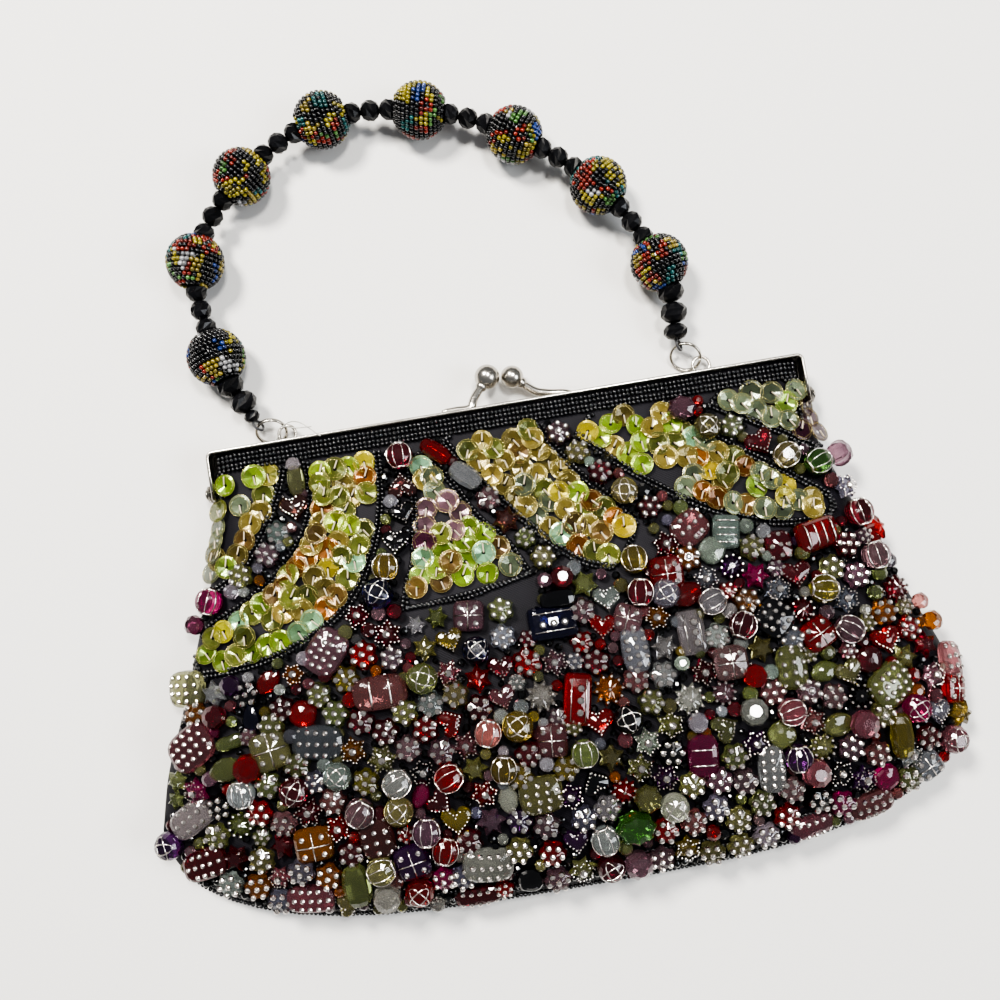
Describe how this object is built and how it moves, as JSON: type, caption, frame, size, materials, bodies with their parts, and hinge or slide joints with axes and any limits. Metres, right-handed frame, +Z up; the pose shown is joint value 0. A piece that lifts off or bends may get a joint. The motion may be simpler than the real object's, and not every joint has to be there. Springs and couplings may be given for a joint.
{
  "type": "beaded handbag",
  "caption": "Small evening bag with a kiss-lock metal frame, a satin pouch covered in beads and sequins, and a handle of large beaded balls, lying on its back.",
  "frame": {"origin": "Under the middle of the whole bag, handle included, on the surface that it lies on.", "axes": "+Z is up, out of the bag's beaded front. +X runs along the metal frame to the right as the front is seen. +Y runs from the bag's bottom to its handle."},
  "size_m": [0.24, 0.248, 0.0244],
  "materials": {
    "satin": "dark grey-violet satin with a soft sheen",
    "acrylic_beads": "mixed coloured faceted beads with silvered pips, mostly dark red, mauve, olive, amber and clear",
    "sequins": "iridescent cup sequins, mostly yellow-green, gold and clear",
    "silver_metal": "polished silver-coloured plating",
    "black_glass": "black cut glass",
    "seed_beads": "black seed beads with patches of red, gold, green, blue and silver ones",
    "nylon_thread": "black twisted thread"
  },
  "bodies": {
    "root": {"pouch": "satin", "bead_field": "acrylic_beads", "bead_channel": "acrylic_beads", "sequin_leaf_1": "sequins", "sequin_leaf_2": "sequins", "sequin_leaf_3": "sequins", "sequin_leaf_4": "sequins", "sequin_leaf_5": "sequins", "sequin_leaf_6": "sequins", "frame_front": "silver_metal", "frame_back": "silver_metal", "hinge_rivet_left": "silver_metal", "hinge_rivet_right": "silver_metal", "handle_ring_left": "silver_metal", "handle_ring_right": "silver_metal", "tip_bead_left": "black_glass", "end_bead_left_1": "black_glass", "end_bead_left_2": "black_glass", "beaded_ball_1": "seed_beads", "cut_bead_01": "black_glass", "cut_bead_02": "black_glass", "cut_bead_03": "black_glass", "beaded_ball_2": "seed_beads", "cut_bead_04": "black_glass", "cut_bead_05": "black_glass", "cut_bead_06": "black_glass", "beaded_ball_3": "seed_beads", "cut_bead_07": "black_glass", "cut_bead_08": "black_glass", "cut_bead_09": "black_glass", "beaded_ball_4": "seed_beads", "cut_bead_10": "black_glass", "cut_bead_11": "black_glass", "cut_bead_12": "black_glass", "beaded_ball_5": "seed_beads", "cut_bead_13": "black_glass", "cut_bead_14": "black_glass", "cut_bead_15": "black_glass", "beaded_ball_6": "seed_beads", "cut_bead_16": "black_glass", "cut_bead_17": "black_glass", "cut_bead_18": "black_glass", "beaded_ball_7": "seed_beads", "cut_bead_19": "black_glass", "cut_bead_20": "black_glass", "cut_bead_21": "black_glass", "beaded_ball_8": "seed_beads", "end_bead_right_1": "black_glass", "end_bead_right_2": "black_glass", "tip_bead_right": "black_glass", "handle_thread": "nylon_thread"}
  },
  "joints": []
}
